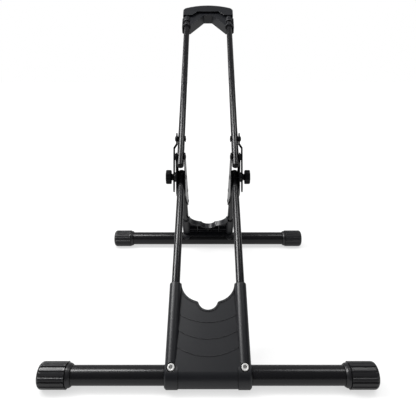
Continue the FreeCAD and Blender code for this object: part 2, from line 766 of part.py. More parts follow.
pivot_rivets = []
frame_rivets = []
spacers = []
washers = []
bolts = []
nuts = []
for name, side in SIDES:
    x = side * side_x
    nodes["front_cap_" + name] = end_cap(side, front_foot, front_width, front_cap_d,
                                         front_tube_d)
    nodes["rear_cap_" + name] = end_cap(side, rear_foot, rear_width, rear_cap_d,
                                        rear_tube_d)
    knee_station = front_rod_length - front_stub
    nodes["front_rod_" + name] = rod(x, front_start, front_leg_angle, front_rod_length,
                                     [(knee_station, pivot_pin_d)])
    nodes["front_rod_plug_" + name] = plug(x, front_end, front_leg_angle,
                                           front_stub - pivot_pin_d)
    rear_holes = [(math.dist(rear_start, point), rivet_d) for point in rivet_points]
    nodes["rear_rod_" + name] = rod(x, rear_start, 180 - rear_rod_angle,
                                    rear_rod_length, rear_holes)
    nodes["rear_rod_plug_" + name] = plug(x, rear_top, 180 - rear_rod_angle,
                                          plug_depth, 0)
    hoop_holes = [(hoop_tail, pivot_pin_d), (hoop_tail + pivot_distance, pivot_pin_d)]
    hoop_rod = rod(x, hoop_start, hoop_angle, hoop_rod_length, hoop_holes)
    screw_point = along(hoop_start, hoop_angle, hoop_tail + hoop_length
                        + head_screw_station)
    screw_out = Vector(x, *along(screw_point, hoop_angle - 90, rod_d))
    hoop_rod = hoop_rod.cut(cylinder(head_screw_d / 2 + pin_fit, Vector(x, *screw_point),
                                     screw_out))
    nodes["hoop_rod_" + name] = hoop_rod
    nodes["hoop_rod_plug_" + name] = plug(x, hoop_start, 180 + hoop_angle,
                                          hoop_tail - pivot_pin_d)
    outer_from = x + side * plate_inside if side > 0 else x - plate_outside
    inner_from = x - plate_outside if side > 0 else x + plate_inside
    nodes["hinge_plate_outer_" + name] = hinge_plate(outer_from)
    nodes["hinge_plate_inner_" + name] = hinge_plate(inner_from)
    nodes["knob_stud_" + name] = stud(side)
    nodes["stay_" + name] = stay_strip(side)
    nodes["knob_" + name] = knob(side)
    nodes["knob_insert_" + name] = knob_insert(side)
    pivot_rivets.append(rivet(side, hoop_pivot, pivot_pin_d, pin_head_d, pin_head))
    for point in rivet_points:
        frame_rivets.append(rivet(side, point, rivet_d, rivet_head_d, rivet_head))
    spacers.append(ring(side, front_knee, plate_outside, stay_high - running_gap, spacer_d))
    washers.append(ring(side, front_knee, stay_high + stay + running_gap,
                        knob_seat - running_gap, knob_washer_d))
    bolts.append(stay_bolt(side))
    nuts.append(stay_nut(side))

nodes["hoop_pivot_rivets"] = Part.makeCompound(pivot_rivets)
nodes["rear_rod_rivets"] = Part.makeCompound(frame_rivets)
nodes["stay_spacers"] = Part.makeCompound(spacers)
nodes["knob_washers"] = Part.makeCompound(washers)
nodes["stay_bolts"] = Part.makeCompound(bolts)
nodes["stay_nuts"] = Part.makeCompound(nuts)
nodes["head_body"] = at_hoop_end(head_body())
nodes["head_cap"] = at_hoop_end(head_cap())
nodes["head_screws"] = at_hoop_end(head_screws())

# The origin is under the middle of the rack, on the floor.
whole = Part.makeCompound(list(nodes.values())).optimalBoundingBox(False, False)
middle = (whole.YMin + whole.YMax) / 2

if __name__ == "__main__":
    os.makedirs("parts", exist_ok=True)
    for name, shape in nodes.items():
        shape = shape.copy()
        shape.translate(Vector(0, -middle, 0))
        shape.exportStep("parts/" + name + ".step")
    print(len(nodes), "nodes,", round(whole.XLength), "wide,", round(whole.YLength), "deep,",
          round(whole.ZLength), "high; lowest point", round(whole.ZMin, 3))
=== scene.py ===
# %% [markdown]
# # A floor bike rack, finished for its picture
#
# The rack stands on the floor and holds a bicycle by one wheel. Its frame comes packed
# with true sizes: two foot tubes, six rods, two moulded cradles, four hinge plates and a
# head. This lesson keeps that frame and gives each piece the surface that the real one
# has: deburred tube ends, grooved rubber caps, fluted screw heads, grained plastic.
# The first cell loads the frame and keeps its box.

# %% Load the frame
import json
import math

import bmesh
import bpy
import numpy as np
from mathutils import Matrix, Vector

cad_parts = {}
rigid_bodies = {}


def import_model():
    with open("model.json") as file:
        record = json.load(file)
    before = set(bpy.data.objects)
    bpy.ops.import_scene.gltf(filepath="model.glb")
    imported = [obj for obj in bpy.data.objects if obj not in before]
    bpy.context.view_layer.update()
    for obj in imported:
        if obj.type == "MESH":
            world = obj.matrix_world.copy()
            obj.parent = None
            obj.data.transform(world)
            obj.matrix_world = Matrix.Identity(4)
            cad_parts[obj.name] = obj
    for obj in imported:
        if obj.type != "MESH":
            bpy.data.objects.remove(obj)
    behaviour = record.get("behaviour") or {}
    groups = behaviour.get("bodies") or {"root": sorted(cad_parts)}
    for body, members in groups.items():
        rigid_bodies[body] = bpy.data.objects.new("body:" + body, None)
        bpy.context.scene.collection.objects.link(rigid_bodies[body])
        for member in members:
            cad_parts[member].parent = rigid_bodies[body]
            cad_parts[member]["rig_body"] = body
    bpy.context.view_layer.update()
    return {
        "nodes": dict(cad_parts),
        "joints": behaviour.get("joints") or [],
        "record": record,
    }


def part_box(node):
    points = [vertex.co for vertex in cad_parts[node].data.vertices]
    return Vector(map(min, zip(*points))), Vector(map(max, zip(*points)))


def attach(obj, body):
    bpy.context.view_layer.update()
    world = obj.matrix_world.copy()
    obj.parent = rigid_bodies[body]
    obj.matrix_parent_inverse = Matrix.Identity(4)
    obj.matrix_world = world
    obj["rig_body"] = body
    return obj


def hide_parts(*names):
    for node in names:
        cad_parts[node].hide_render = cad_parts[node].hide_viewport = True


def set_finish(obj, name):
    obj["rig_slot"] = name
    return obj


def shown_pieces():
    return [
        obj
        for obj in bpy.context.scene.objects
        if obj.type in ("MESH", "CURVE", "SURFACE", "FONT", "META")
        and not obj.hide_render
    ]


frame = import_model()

MM = 0.001
SIDES = (("left", -1), ("right", 1))

# %% [markdown]
# ## Camera
#
# The picture looks straight along the rack, from 0.44 m in front of the front foot and
# 0.41 m above it, tilted 15.9 degrees down. One pixel at a distance of one metre is
# 1/400 m wide, which gives the lens. The optical axis meets the picture 38 pixels above
# its middle, so the lens is shifted by that share and the uprights keep their slant.

# %% Camera
PICTURE = 416
FOCAL_PIXELS = 400.0
AXIS_ROW = 170.0
TILT_DOWN = 15.87
BEFORE_FOOT = 0.4411
ABOVE_FOOT = 0.4117

foot_low, foot_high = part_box("front_foot_tube")
front_foot = (foot_low + foot_high) / 2
camera_data = bpy.data.cameras.new("camera")
camera_data.lens = camera_data.sensor_width * FOCAL_PIXELS / PICTURE
camera_data.shift_y = (AXIS_ROW - PICTURE / 2) / PICTURE
camera_data.clip_start = 0.01
camera = bpy.data.objects.new("camera", camera_data)
camera.location = (0, front_foot.y - BEFORE_FOOT, front_foot.z + ABOVE_FOOT)
camera.rotation_euler = (math.radians(90 - TILT_DOWN), 0, 0)
bpy.context.scene.collection.objects.link(camera)
bpy.context.scene.camera = camera
bpy.context.scene.view_settings.view_transform = "Standard"
print("camera at", tuple(round(c, 3) for c in camera.location), "lens", round(camera_data.lens, 2))

# %% [markdown]
# ## Places that the pieces share
#
# The joints give the pivots. A leaning rod's line is read from its box: a cylinder of
# length L and radius r that leans by an angle a fills L cos a + 2 r sin a along the
# floor and L sin a + 2 r cos a upwards. The sum and the difference of the two give
# cos a + sin a and cos a - sin a, and L is the length at which their squares add to 2.
# It is found by halving a range that holds it.

# %% Pivots and rod lines
HALVINGS = 50
pivots = {joint["name"]: np.array(joint["pos_m"]) for joint in frame["joints"]}
knee = pivots["front_leg_fold"]
hoop_pivot = pivots["hoop_fold"]
stay_pivot = pivots["stay_turn_left"] * (0, 1, 1)
SIDE_X = pivots["stay_turn_right"][0]


def rod_line(node, falls=False):
    """Lower end, unit axis, length and radius of a leaning rod, worked out from its box."""
    low, high = (np.array(corner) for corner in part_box(node))
    radius = (high[0] - low[0]) / 2
    depth, height = (high - low)[1:]
    short, long = 3 * radius, math.hypot(depth, height)
    for _ in range(HALVINGS):
        length = (short + long) / 2
        both = (depth + height) / (length + 2 * radius)
        apart = (depth - height) / (length - 2 * radius)
        if both ** 2 + apart ** 2 > 2:
            short = length
        else:
            long = length
    c, s = (both + apart) / 2, (both - apart) / 2
    x = (low[0] + high[0]) / 2
    y = high[1] - radius * s if falls else low[1] + radius * s
    axis = np.array([0, -c if falls else c, s])
    return np.array([x, y, low[2] + radius * c]), axis, length, radius


for node in ("front_rod_left", "rear_rod_left", "hoop_rod_left"):
    start, axis, length, radius = rod_line(node, node.startswith("rear"))
    lean = math.degrees(math.atan2(axis[2], abs(axis[1])))
    print(f"{node}: {length / MM:.1f} mm long, {2 * radius / MM:.1f} thick,",
          f"leans {lean:.1f} degrees")

# %% [markdown]
# ## Turned surfaces
#
# Tubes, rods, plugs, caps, knobs, screws and rivets are all round pieces. Each is a
# function of two parameters: the place along a profile and the angle about the axis.
# One helper makes them all. Its profile is a list of (station, radius) points whose
# corners can be rounded, and a shape function may press flats, lobes or grooves into
# any ring. Lathe work could be done with the Screw modifier too, but arrays let each
# ring have its own outline.

# %% Profiles
def rounded(points, radius, steps=5):
    """Replace each inner corner of a profile by a quadratic curve that starts and ends
    at most radius from the corner, or at half of the shorter leg."""
    points = np.array(points, float)
    out = [points[:1]]
    t = np.linspace(0, 1, steps)[:, None]
    for before, corner, after in zip(points[:-2], points[1:-1], points[2:]):
        back, ahead = before - corner, after - corner
        lengths = np.linalg.norm(back), np.linalg.norm(ahead)
        reach = min(radius, lengths[0] / 2, lengths[1] / 2)
        a = corner + back / lengths[0] * reach
        b = corner + ahead / lengths[1] * reach
        out.append((1 - t) ** 2 * a + 2 * t * (1 - t) * corner + t ** 2 * b)
    out.append(points[-1:])
    return np.concatenate(out)


def frame_of(axis):
    """Two unit vectors square to an axis, the first one in the side view."""
    axis = np.array(axis, float) / np.linalg.norm(axis)
    first = np.cross(axis, (1.0, 0, 0))
    if np.linalg.norm(first) < 0.5:
        first = np.array((0, 0, 1.0))
    first /= np.linalg.norm(first)
    return first, np.cross(axis, first)


print("rounded profile of a square corner:", len(rounded([(0, 0), (1, 0), (1, 1)], 0.2)), "points")

# %% A turned piece
SEAM = 1e-7
SMOOTH_BELOW = 40.0


def new_piece(name, verts, faces, body):
    """A mesh object from points and faces, with its normals turned outwards. Points
    within SEAM metres of each other become one, and an edge that turns by less than
    SMOOTH_BELOW degrees is shaded smooth."""
    mesh = bpy.data.meshes.new(name)
    mesh.from_pydata(verts, [], faces)
    work = bmesh.new()
    work.from_mesh(mesh)
    bmesh.ops.remove_doubles(work, verts=work.verts, dist=SEAM)
    bmesh.ops.recalc_face_normals(work, faces=work.faces)
    work.to_mesh(mesh)
    work.free()
    mesh.shade_smooth()
    mesh.set_sharp_from_angle(angle=math.radians(SMOOTH_BELOW))
    piece = bpy.data.objects.new(name, mesh)
    bpy.context.scene.collection.objects.link(piece)
    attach(piece, body)
    return piece


def stand_in(node, surface, slot):
    """A piece from (points, faces) that takes the place of a frame node on its body."""
    piece = new_piece(node + "_finished", *surface, frame["nodes"][node]["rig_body"])
    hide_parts(node)
    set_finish(piece, slot)
    return piece


def turned_mesh(start, axis, profile, steps, shape=None, ring=False):
    """Points and faces of a turned surface. Ring i lies at start + station_i * axis, and
    its point at angle w is reach_i(w) * (cos w * u + sin w * v), where the reach is the
    profile's radius or what shape makes of it. A flat face closes each end, or the last
    ring joins the first when ring is set."""
    stations, radii = np.array(profile, float).T
    angles = np.arange(steps) / steps * 2 * np.pi
    u, v = frame_of(axis)
    spoke = np.cos(angles)[:, None] * u + np.sin(angles)[:, None] * v
    reach = np.repeat(radii[:, None], steps, 1)
    if shape is not None:
        reach = shape(np.repeat(stations[:, None], steps, 1), reach, angles)
    centres = np.array(start) + stations[:, None] * np.array(axis)
    verts = (centres[:, None] + reach[..., None] * spoke).reshape(-1, 3)
    count = len(stations)
    i, j = np.meshgrid(np.arange(count if ring else count - 1), np.arange(steps), indexing="ij")
    after, beside = (i + 1) % count, (j + 1) % steps
    quads = np.stack([i * steps + j, i * steps + beside,
                      after * steps + beside, after * steps + j], -1)
    faces = quads.reshape(-1, 4).tolist()
    if not ring:
        faces += [list(range(steps)), list(range((count - 1) * steps, count * steps))]
    return verts, faces


def joined(parts):
    """One list of points and faces from several."""
    verts, faces, offset = [], [], 0
    for part_verts, part_faces in parts:
        verts.append(part_verts)
        faces += [[k + offset for k in face] for face in part_faces]
        offset += len(part_verts)
    return np.concatenate(verts), faces


print("a turned can of 6 sides has", len(turned_mesh((0, 0, 0), (0, 0, 1), [(0, 1), (1, 1)], 6)[1]),
      "faces")

# %% [markdown]
# ## Easing the edges of prismatic pieces
#
# Plates, stays, cradles and the head are true to size in the frame already, but their
# edges are knife sharp, and a real stamped or moulded edge catches a line of light. A
# copy of the frame's mesh is merged, its flat faces are made whole again, and a Bevel
# modifier rounds every edge that turns by more than a given angle. The copy stands in
# for the node; the node itself is left alone.

# %% Eased copies
MERGE_WITHIN = 2e-6
FLAT_WITHIN = 0.6
EASED_FROM = 30.0
EASED_SEGMENTS = 3


def eased(node, width, slot):
    """A copy of a frame node whose edges are rounded by a width in metres. Points within
    MERGE_WITHIN metres become one, faces within FLAT_WITHIN degrees of each other are
    joined, and edges that turn by more than EASED_FROM degrees are rounded."""
    source = frame["nodes"][node]
    mesh = source.data.copy()
    mesh.name = node + "_finished"
    work = bmesh.new()
    work.from_mesh(mesh)
    bmesh.ops.remove_doubles(work, verts=work.verts, dist=MERGE_WITHIN)
    bmesh.ops.dissolve_limit(work, angle_limit=math.radians(FLAT_WITHIN), verts=work.verts,
                             edges=work.edges)
    work.to_mesh(mesh)
    work.free()
    mesh.shade_smooth()
    piece = bpy.data.objects.new(node + "_finished", mesh)
    bpy.context.scene.collection.objects.link(piece)
    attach(piece, source["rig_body"])
    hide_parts(node)
    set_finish(piece, slot)
    bevel = piece.modifiers.new("eased edges", "BEVEL")
    bevel.width = width
    bevel.segments = EASED_SEGMENTS
    bevel.limit_method = "ANGLE"
    bevel.angle_limit = math.radians(EASED_FROM)
    weighted = piece.modifiers.new("flat faces stay flat", "WEIGHTED_NORMAL")
    weighted.weight = 100
    weighted.keep_sharp = True
    return piece


PLATE_EDGE = 0.35 * MM
plates = [eased(f"hinge_plate_{face}_{name}", PLATE_EDGE, "powder_coat")
          for face in ("outer", "inner") for name, _ in SIDES]
stays = [eased(f"stay_{name}", PLATE_EDGE, "powder_coat") for name, _ in SIDES]
print(len(plates), "plates and", len(stays), "stays with eased edges")

# %% [markdown]
# ## Cradles and head
#
# The cradles and the head are mouldings of glass-filled plastic. Their edges are rounder
# than stamped ones, because a mould's edges are.

# %% Mouldings
MOULDED_EDGE = 0.5 * MM
cradles = [eased(f"{leg}_cradle", MOULDED_EDGE, "moulded_plastic") for leg in ("front", "rear")]
head = [eased(node, MOULDED_EDGE, "moulded_plastic") for node in ("head_body", "head_cap")]
print(len(cradles + head), "mouldings")

# %% [markdown]
# ## Foot tubes and rods
#
# These are drawn tubes with a satin coat. A tube is the simplest turned surface: a
# straight profile with a small round at each rim, where the saw cut was deburred.

# %% Tubes and rods
DEBURR = 0.5 * MM
LONG_STEPS = 72


def tube_piece(node, start, axis, length, radius):
    """A straight tube with deburred rims, in place of a frame node."""
    profile = rounded([(0, radius - 2 * DEBURR), (0, radius), (length, radius),
                       (length, radius - 2 * DEBURR)], DEBURR)
    return stand_in(node, turned_mesh(start, axis, profile, LONG_STEPS), "powder_coat")


tubes = []
for leg in ("front", "rear"):
    low, high = (np.array(corner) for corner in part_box(leg + "_foot_tube"))
    middle = (low + high) / 2
    start = np.array([low[0], middle[1], middle[2]])
    tubes.append(tube_piece(leg + "_foot_tube", start, (1, 0, 0), high[0] - low[0],
                            (high[2] - low[2]) / 2))
    for name, _ in SIDES:
        node = f"{leg}_rod_{name}"
        tubes.append(tube_piece(node, *rod_line(node, leg == "rear")))
for name, _ in SIDES:
    tubes.append(tube_piece(f"hoop_rod_{name}", *rod_line(f"hoop_rod_{name}")))
print(len(tubes), "tubes")

# %% [markdown]
# ## Plugs
#
# A moulded plug with a low dome closes the upper end of each front rod and the lower end
# of each hoop rod. Its flange is a hair smaller than the rod, which leaves the thin dark
# line that such plugs show. The rear rods have flat plugs. Where a surface ends on its
# axis, its last ring has a radius of a few hundredths of a millimetre instead of none.

# %% Plugs
PLUG_DOME = 2.4 * MM
PLUG_DEPTH = 5.0 * MM
PLUG_PLAY = 0.06 * MM
ROD_WALL = 1.6 * MM
FLANGE_SHARE = 0.985
HOLLOW_SHARE = 0.6
DOME_RINGS = 12
LEVEL_EDGE = 0.3 * MM
LEVEL_CHAMFER = 0.4 * MM
LEVEL_RIM = 0.9 * MM
LEVEL_RIM_DROP = 0.1 * MM
LEVEL_DISH = 0.8 * MM
POLE = 0.02 * MM


def domed_plug(node, mouth, axis, radius, dome):
    """A plug whose height at a share r of its radius is dome * sqrt(1 - r^2)."""
    bore = radius - ROD_WALL - PLUG_PLAY
    shares = np.linspace(0, 1, DOME_RINGS)[::-1]
    cap = [(dome * math.sqrt(max(0.0, 1 - r ** 2)), r * radius * FLANGE_SHARE) for r in shares]
    profile = [(-PLUG_DEPTH, bore * HOLLOW_SHARE), (-PLUG_DEPTH, bore), (0, bore)] + cap
    return stand_in(node, turned_mesh(mouth, axis, profile, LONG_STEPS), "plug_plastic")


def flush_plug(node, mouth, axis, radius):
    """A plug that ends level with its rod, with a chamfer, a rim and a shallow dish."""
    bore = radius - ROD_WALL - PLUG_PLAY
    profile = rounded([(-PLUG_DEPTH, POLE), (-PLUG_DEPTH, bore), (-LEVEL_EDGE, bore),
                       (0, bore - LEVEL_CHAMFER), (-LEVEL_RIM_DROP, bore - LEVEL_RIM),
                       (-LEVEL_DISH, bore * HOLLOW_SHARE), (-LEVEL_DISH, POLE)], LEVEL_EDGE)
    return stand_in(node, turned_mesh(mouth, axis, profile, LONG_STEPS), "plug_plastic")


plugs = []
for name, _ in SIDES:
    start, axis, length, radius = rod_line(f"rear_rod_{name}", True)
    plugs.append(flush_plug(f"rear_rod_plug_{name}", start + length * axis, axis, radius))
    start, axis, length, radius = rod_line(f"front_rod_{name}")
    plugs.append(domed_plug(f"front_rod_plug_{name}", start + length * axis, axis, radius,
                            PLUG_DOME))
    start, axis, length, radius = rod_line(f"hoop_rod_{name}")
    plugs.append(domed_plug(f"hoop_rod_plug_{name}", start, -axis, radius, PLUG_DOME))
print(len(plugs), "plugs")

# %% [markdown]
# ## Rubber end caps
#
# Each cap is pushed over the end of a foot tube. Flat lands alternate with round grooves
# on its barrel, so that it grips the floor and doesn't roll, its end is well rounded, and
# a collar tapers down to the tube. As a surface it is the smaller of two radii at each
# point, blended softly: that of the ribbed barrel, which depends on the angle, and that
# of the rounded outline, which depends on the station.

# %% End caps
CAP_LANDS = 16
GROOVE_SHARE = 0.44
GROOVE_DEPTH = 1.5 * MM
CAP_END_ROUND = 6.5 * MM
CAP_STEPS = 16 * CAP_LANDS
END_SHARES = (0.02, 0.5, 0.85)
END_FROM = 0.02
END_RINGS = 10
BARREL_RINGS = 12
BARREL_STOP = 0.4 * MM
COLLAR = 6.7 * MM
COLLAR_WALL = 3.0 * MM
COLLAR_EDGE, COLLAR_EDGE_LENGTH = 0.5 * MM, 0.8 * MM
COLLAR_BEND, COLLAR_BEND_DROP = 0.6, 0.3 * MM
COLLAR_LIP, COLLAR_LIP_WALL = 0.3 * MM, 1.1 * MM
COLLAR_ROUND = 1.2 * MM
CAP_PLAY = 0.03 * MM
SOFT_BLEND = 60.0


def cap_piece(node, side, tube_radius):
    """Barrel radius: R / cos w on a land of half angle pi / 16, less a groove whose depth
    follows a half cosine. The outline's radius comes from the profile, and the two blend
    as (a^-p + b^-p)^(-1/p)."""
    low, high = (np.array(corner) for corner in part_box(node))
    flat = high[2] - (low[2] + high[2]) / 2
    length = high[0] - low[0]
    pitch = 2 * np.pi / CAP_LANDS
    outer = flat / math.cos(pitch / 2)
    ribbed = length - COLLAR

    def shape(stations, reach, angles):
        turn = (angles + pitch / 2) % pitch - pitch / 2
        half_groove = pitch / 2 * GROOVE_SHARE
        inside = np.clip((pitch / 2 - np.abs(turn)) / half_groove, 0, 1)
        groove = GROOVE_DEPTH * (0.5 + 0.5 * np.cos(np.pi * inside))
        barrel = flat / np.cos(turn) - groove
        barrel = np.where(stations < ribbed, barrel[None, :], outer)
        return (reach ** -SOFT_BLEND + barrel ** -SOFT_BLEND) ** (-1 / SOFT_BLEND)

    quarter = np.linspace(END_FROM, np.pi / 2, END_RINGS)
    end = [(CAP_END_ROUND * (1 - math.cos(q)), outer - CAP_END_ROUND * (1 - math.sin(q)))
           for q in quarter]
    end = [(0.0, end[0][1] * share) for share in END_SHARES] + end
    body = [(station, outer)
            for station in np.linspace(CAP_END_ROUND, ribbed - BARREL_STOP, BARREL_RINGS)[1:]]
    collar = tube_radius + COLLAR_WALL
    tail = rounded([(ribbed, outer), (ribbed, collar - COLLAR_EDGE),
                    (ribbed + COLLAR_EDGE_LENGTH, collar),
                    (ribbed + COLLAR * COLLAR_BEND, collar - COLLAR_BEND_DROP),
                    (length - COLLAR_LIP, tube_radius + COLLAR_LIP_WALL),
                    (length, tube_radius + CAP_PLAY)], COLLAR_ROUND, 6)
    profile = np.array(end + body + tail.tolist())
    start = np.array([low[0] if side < 0 else high[0], *((low + high) / 2)[1:]])
    return stand_in(node, turned_mesh(start, (-side, 0, 0), profile, CAP_STEPS, shape),
                    "cap_rubber")


caps = []
for leg in ("front", "rear"):
    low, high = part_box(leg + "_foot_tube")
    for name, side in SIDES:
        caps.append(cap_piece(f"{leg}_cap_{name}", side, (high.z - low.z) / 2))
print(len(caps), "caps of", CAP_LANDS, "lands")

# %% [markdown]
# ## Clamping knobs
#
# A knob screws onto a stud and clamps the slotted stay. It has eight soft lobes for the
# fingers, a dished face and a boss. The lobes are a cosine about the axis that fades out
# towards the boss and the middle of the face.

# %% Knobs
KNOB_LOBES = 8
KNOB_STEPS = 12 * KNOB_LOBES
LOBE_DEPTH = 1.0 * MM
LOBE_FROM, LOBE_WIDTH = 0.6, 0.3
KNOB_EDGE = 1.8 * MM
KNOB_BORE = 3.1 * MM
BOSS_LENGTH = 2.5 * MM
BOSS_RADIUS = 6.0 * MM
DISH_DEPTH = 0.9 * MM
DISH_RIM, DISH_FLOOR, DISH_POLE = 0.72, 0.62, 0.02


def knob_piece(name, side):
    """Radius at angle w: r less a share of the lobe depth times (1 - cos 8 w) / 2 squared.
    The share grows from 0 at 0.6 of the knob's radius to 1 at 0.9 of it."""
    low, high = (np.array(corner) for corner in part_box("knob_" + name))
    radius = (high[2] - low[2]) / 2
    length = high[0] - low[0]

    def shape(stations, reach, angles):
        lobe = ((1 - np.cos(KNOB_LOBES * angles)) / 2) ** 2
        fade = np.clip((reach - LOBE_FROM * radius) / (LOBE_WIDTH * radius), 0, 1)
        return reach - LOBE_DEPTH * lobe[None, :] * fade

    outline = rounded([(0, KNOB_BORE), (0, BOSS_RADIUS), (BOSS_LENGTH, BOSS_RADIUS),
                       (BOSS_LENGTH, radius), (length, radius), (length, radius * DISH_RIM),
                       (length - DISH_DEPTH, radius * DISH_FLOOR),
                       (length - DISH_DEPTH, radius * DISH_POLE)], KNOB_EDGE, 7)
    start = np.array([low[0] if side > 0 else high[0], *((low + high) / 2)[1:]])
    return stand_in("knob_" + name, turned_mesh(start, (side, 0, 0), outline, KNOB_STEPS, shape),
                    "knob_plastic")


knobs = [knob_piece(name, side) for name, side in SIDES]
print(len(knobs), "knobs")

# %% [markdown]
# ## Screws, bolts, nuts and rivets
#
# The fasteners are small but bright or round enough to catch the eye. A socket screw is
# a turned surface whose inner rings are hexagons: a ring's hexness from 0 to 1 blends a
# circle into a hexagon, whose radius at angle w is r cos 30 / cos(w mod 60 - 30).

# %% Hexagonal rings
def hexed(hexness, flute_count=0, flute_depth=0.0, fluted=None):
    """A shape function that makes ring i a hexagon by hexness_i, and cuts fine flutes
    into the rings that fluted marks."""
    hexness = np.array(hexness, float)[:, None]
    marks = np.zeros(len(hexness)) if fluted is None else np.array(fluted, float)

    def shape(stations, reach, angles):
        sector = angles % (np.pi / 3) - np.pi / 6
        flat = math.cos(np.pi / 6) / np.cos(sector)
        flute = flute_depth * (0.5 + 0.5 * np.cos(flute_count * angles))
        return reach * (1 + hexness * (flat[None, :] - 1)) - marks[:, None] * flute[None, :]

    return shape


def group_piece(node, parts, slot):
    """One piece for a group of like fasteners."""
    return stand_in(node, joined(parts), slot)


# %% Cradle screws
HEAD_RADIUS = 4.8 * MM
HEAD_HEIGHT = 5.0 * MM
SOCKET_FLATS = 5.0 * MM
SOCKET_DEPTH = 3.0 * MM
SHANK_RADIUS = 3.0 * MM
SCREW_LENGTH = 18.0 * MM
SCREW_STATION = 6.0 * MM
SCREW_STEPS = 96
SEAT_WALL = 1.8 * MM
TIP_CHAMFER = 0.6 * MM
HEAD_EDGE = 0.3 * MM
FLUTES = 32
FLUTE_DEPTH = 0.14 * MM
FLUTES_FROM, FLUTES_TO = 0.6 * MM, 1.1 * MM
CROWN = ((0.8, 0.0), (0.35, 0.18), (0.05, 0.6), (0.0, 1.0))
SOCKET_CHAMFER, SOCKET_CHAMFER_WIDTH = 0.3 * MM, 0.35 * MM
SOCKET_CONE = 0.8 * MM
PIN_POLE = 0.05 * MM


def socket_screw(tip, axis):
    """A cap screw from its tip upwards. Each row has the station, the radius, the hexness
    and whether the ring is fluted. The crown's points lie so many millimetres below the
    top and in from the rim."""
    top = SCREW_LENGTH + HEAD_HEIGHT
    corner = SOCKET_FLATS / math.sqrt(3)
    shank = [(0, POLE, 0, 0), (0, SHANK_RADIUS - TIP_CHAMFER, 0, 0),
             (TIP_CHAMFER, SHANK_RADIUS, 0, 0), (SCREW_LENGTH, SHANK_RADIUS, 0, 0)]
    head = [(SCREW_LENGTH, HEAD_RADIUS - HEAD_EDGE, 0, 0),
            (SCREW_LENGTH + HEAD_EDGE, HEAD_RADIUS, 0, 0),
            (SCREW_LENGTH + FLUTES_FROM, HEAD_RADIUS, 0, 1), (top - FLUTES_TO, HEAD_RADIUS, 0, 1)]
    crown = [(top - down * MM, HEAD_RADIUS - inwards * MM, 0, 0) for down, inwards in CROWN]
    socket = [(top, corner + SOCKET_CHAMFER_WIDTH, 0, 0), (top - SOCKET_CHAMFER, corner, 1, 0),
              (top - SOCKET_DEPTH, corner, 1, 0),
              (top - SOCKET_DEPTH - SOCKET_CONE, PIN_POLE, 1, 0)]
    rows = np.array(shank + head + crown + socket)
    return turned_mesh(tip, axis, rows[:, :2], SCREW_STEPS,
                       hexed(rows[:, 2], FLUTES, FLUTE_DEPTH, rows[:, 3]))


screws = []
for leg, falls in (("front", False), ("rear", True)):
    low, high = (np.array(corner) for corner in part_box(leg + "_foot_tube"))
    centre = (low + high) / 2
    radius = (high[2] - low[2]) / 2
    axis = rod_line(f"{leg}_rod_left", falls)[1]
    out = np.array([0, axis[2], -axis[1]]) if falls else np.array([0, -axis[2], axis[1]])
    seat = math.sqrt(radius ** 2 - SCREW_STATION ** 2) + SEAT_WALL
    parts = []
    for _, side in SIDES:
        tip = centre + SCREW_STATION * axis + (seat - SCREW_LENGTH) * out
        tip[0] = side * SIDE_X
        parts.append(socket_screw(tip, out))
    screws.append(group_piece(leg + "_cradle_screws", parts, "bright_screw"))
print(len(screws), "pairs of screws, the rear heads", round(seat / MM, 1), "mm off the foot's axis")

# %% Rivets and studs
PLATE_OUTSIDE = 8.65 * MM
FLAT_HEAD_RADIUS = 6.0 * MM
FLAT_HEAD = 1.2 * MM
PIN_RADIUS = 3.0 * MM
PIN_DOME_RADIUS = 4.75 * MM
PIN_DOME = 1.2 * MM
PIN_CHAMFER = 0.5 * MM
PIN_TIP_RADIUS = 2.5 * MM
RIVET_EDGE = 0.5 * MM
RIVET_STEPS = 48
DOME_TO = 0.03
DOME_STEPS = 9


def dome_profile(start, radius, height):
    """Stations and radii of a dome: height * sqrt(1 - (r / R)^2) above start."""
    share = np.sin(np.linspace(np.pi / 2, DOME_TO, DOME_STEPS))
    return [(start + height * math.sqrt(max(0.0, 1 - s * s)), radius * s) for s in share]


def rivet_mesh(point, side, pin, dome_radius, dome):
    """A rivet across both plates: flat head outside, dome inside the rack."""
    outer, span = side * (SIDE_X + PLATE_OUTSIDE), 2 * PLATE_OUTSIDE
    flat = rounded([(-FLAT_HEAD, PIN_POLE), (-FLAT_HEAD, FLAT_HEAD_RADIUS),
                    (0, FLAT_HEAD_RADIUS), (0, pin)], RIVET_EDGE)
    profile = flat.tolist() + [(span, pin), (span, dome_radius)]
    profile += dome_profile(span, dome_radius, dome)
    return turned_mesh((outer, point[1], point[2]), (-side, 0, 0), profile, RIVET_STEPS)


parts = [rivet_mesh(hoop_pivot, side, PIN_RADIUS, PIN_DOME_RADIUS, PIN_DOME) for _, side in SIDES]
rivets = [group_piece("hoop_pivot_rivets", parts, "black_fastener")]
for name, side in SIDES:
    low, high = (np.array(corner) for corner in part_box("knob_stud_" + name))
    length = high[0] - low[0]
    head_x = low[0] if side > 0 else high[0]
    tip = length - PIN_DOME
    profile = dome_profile(0, PIN_DOME_RADIUS, -PIN_DOME)[::-1] + [(0, PIN_RADIUS)]
    profile += [(tip - PIN_CHAMFER, PIN_RADIUS), (tip, PIN_TIP_RADIUS), (tip, PIN_POLE)]
    start = (head_x + side * PIN_DOME, knee[1], knee[2])
    rivets.append(stand_in("knob_stud_" + name,
                           turned_mesh(start, (side, 0, 0), profile, RIVET_STEPS),
                           "black_fastener"))
print(len(rivets), "pivot pieces")

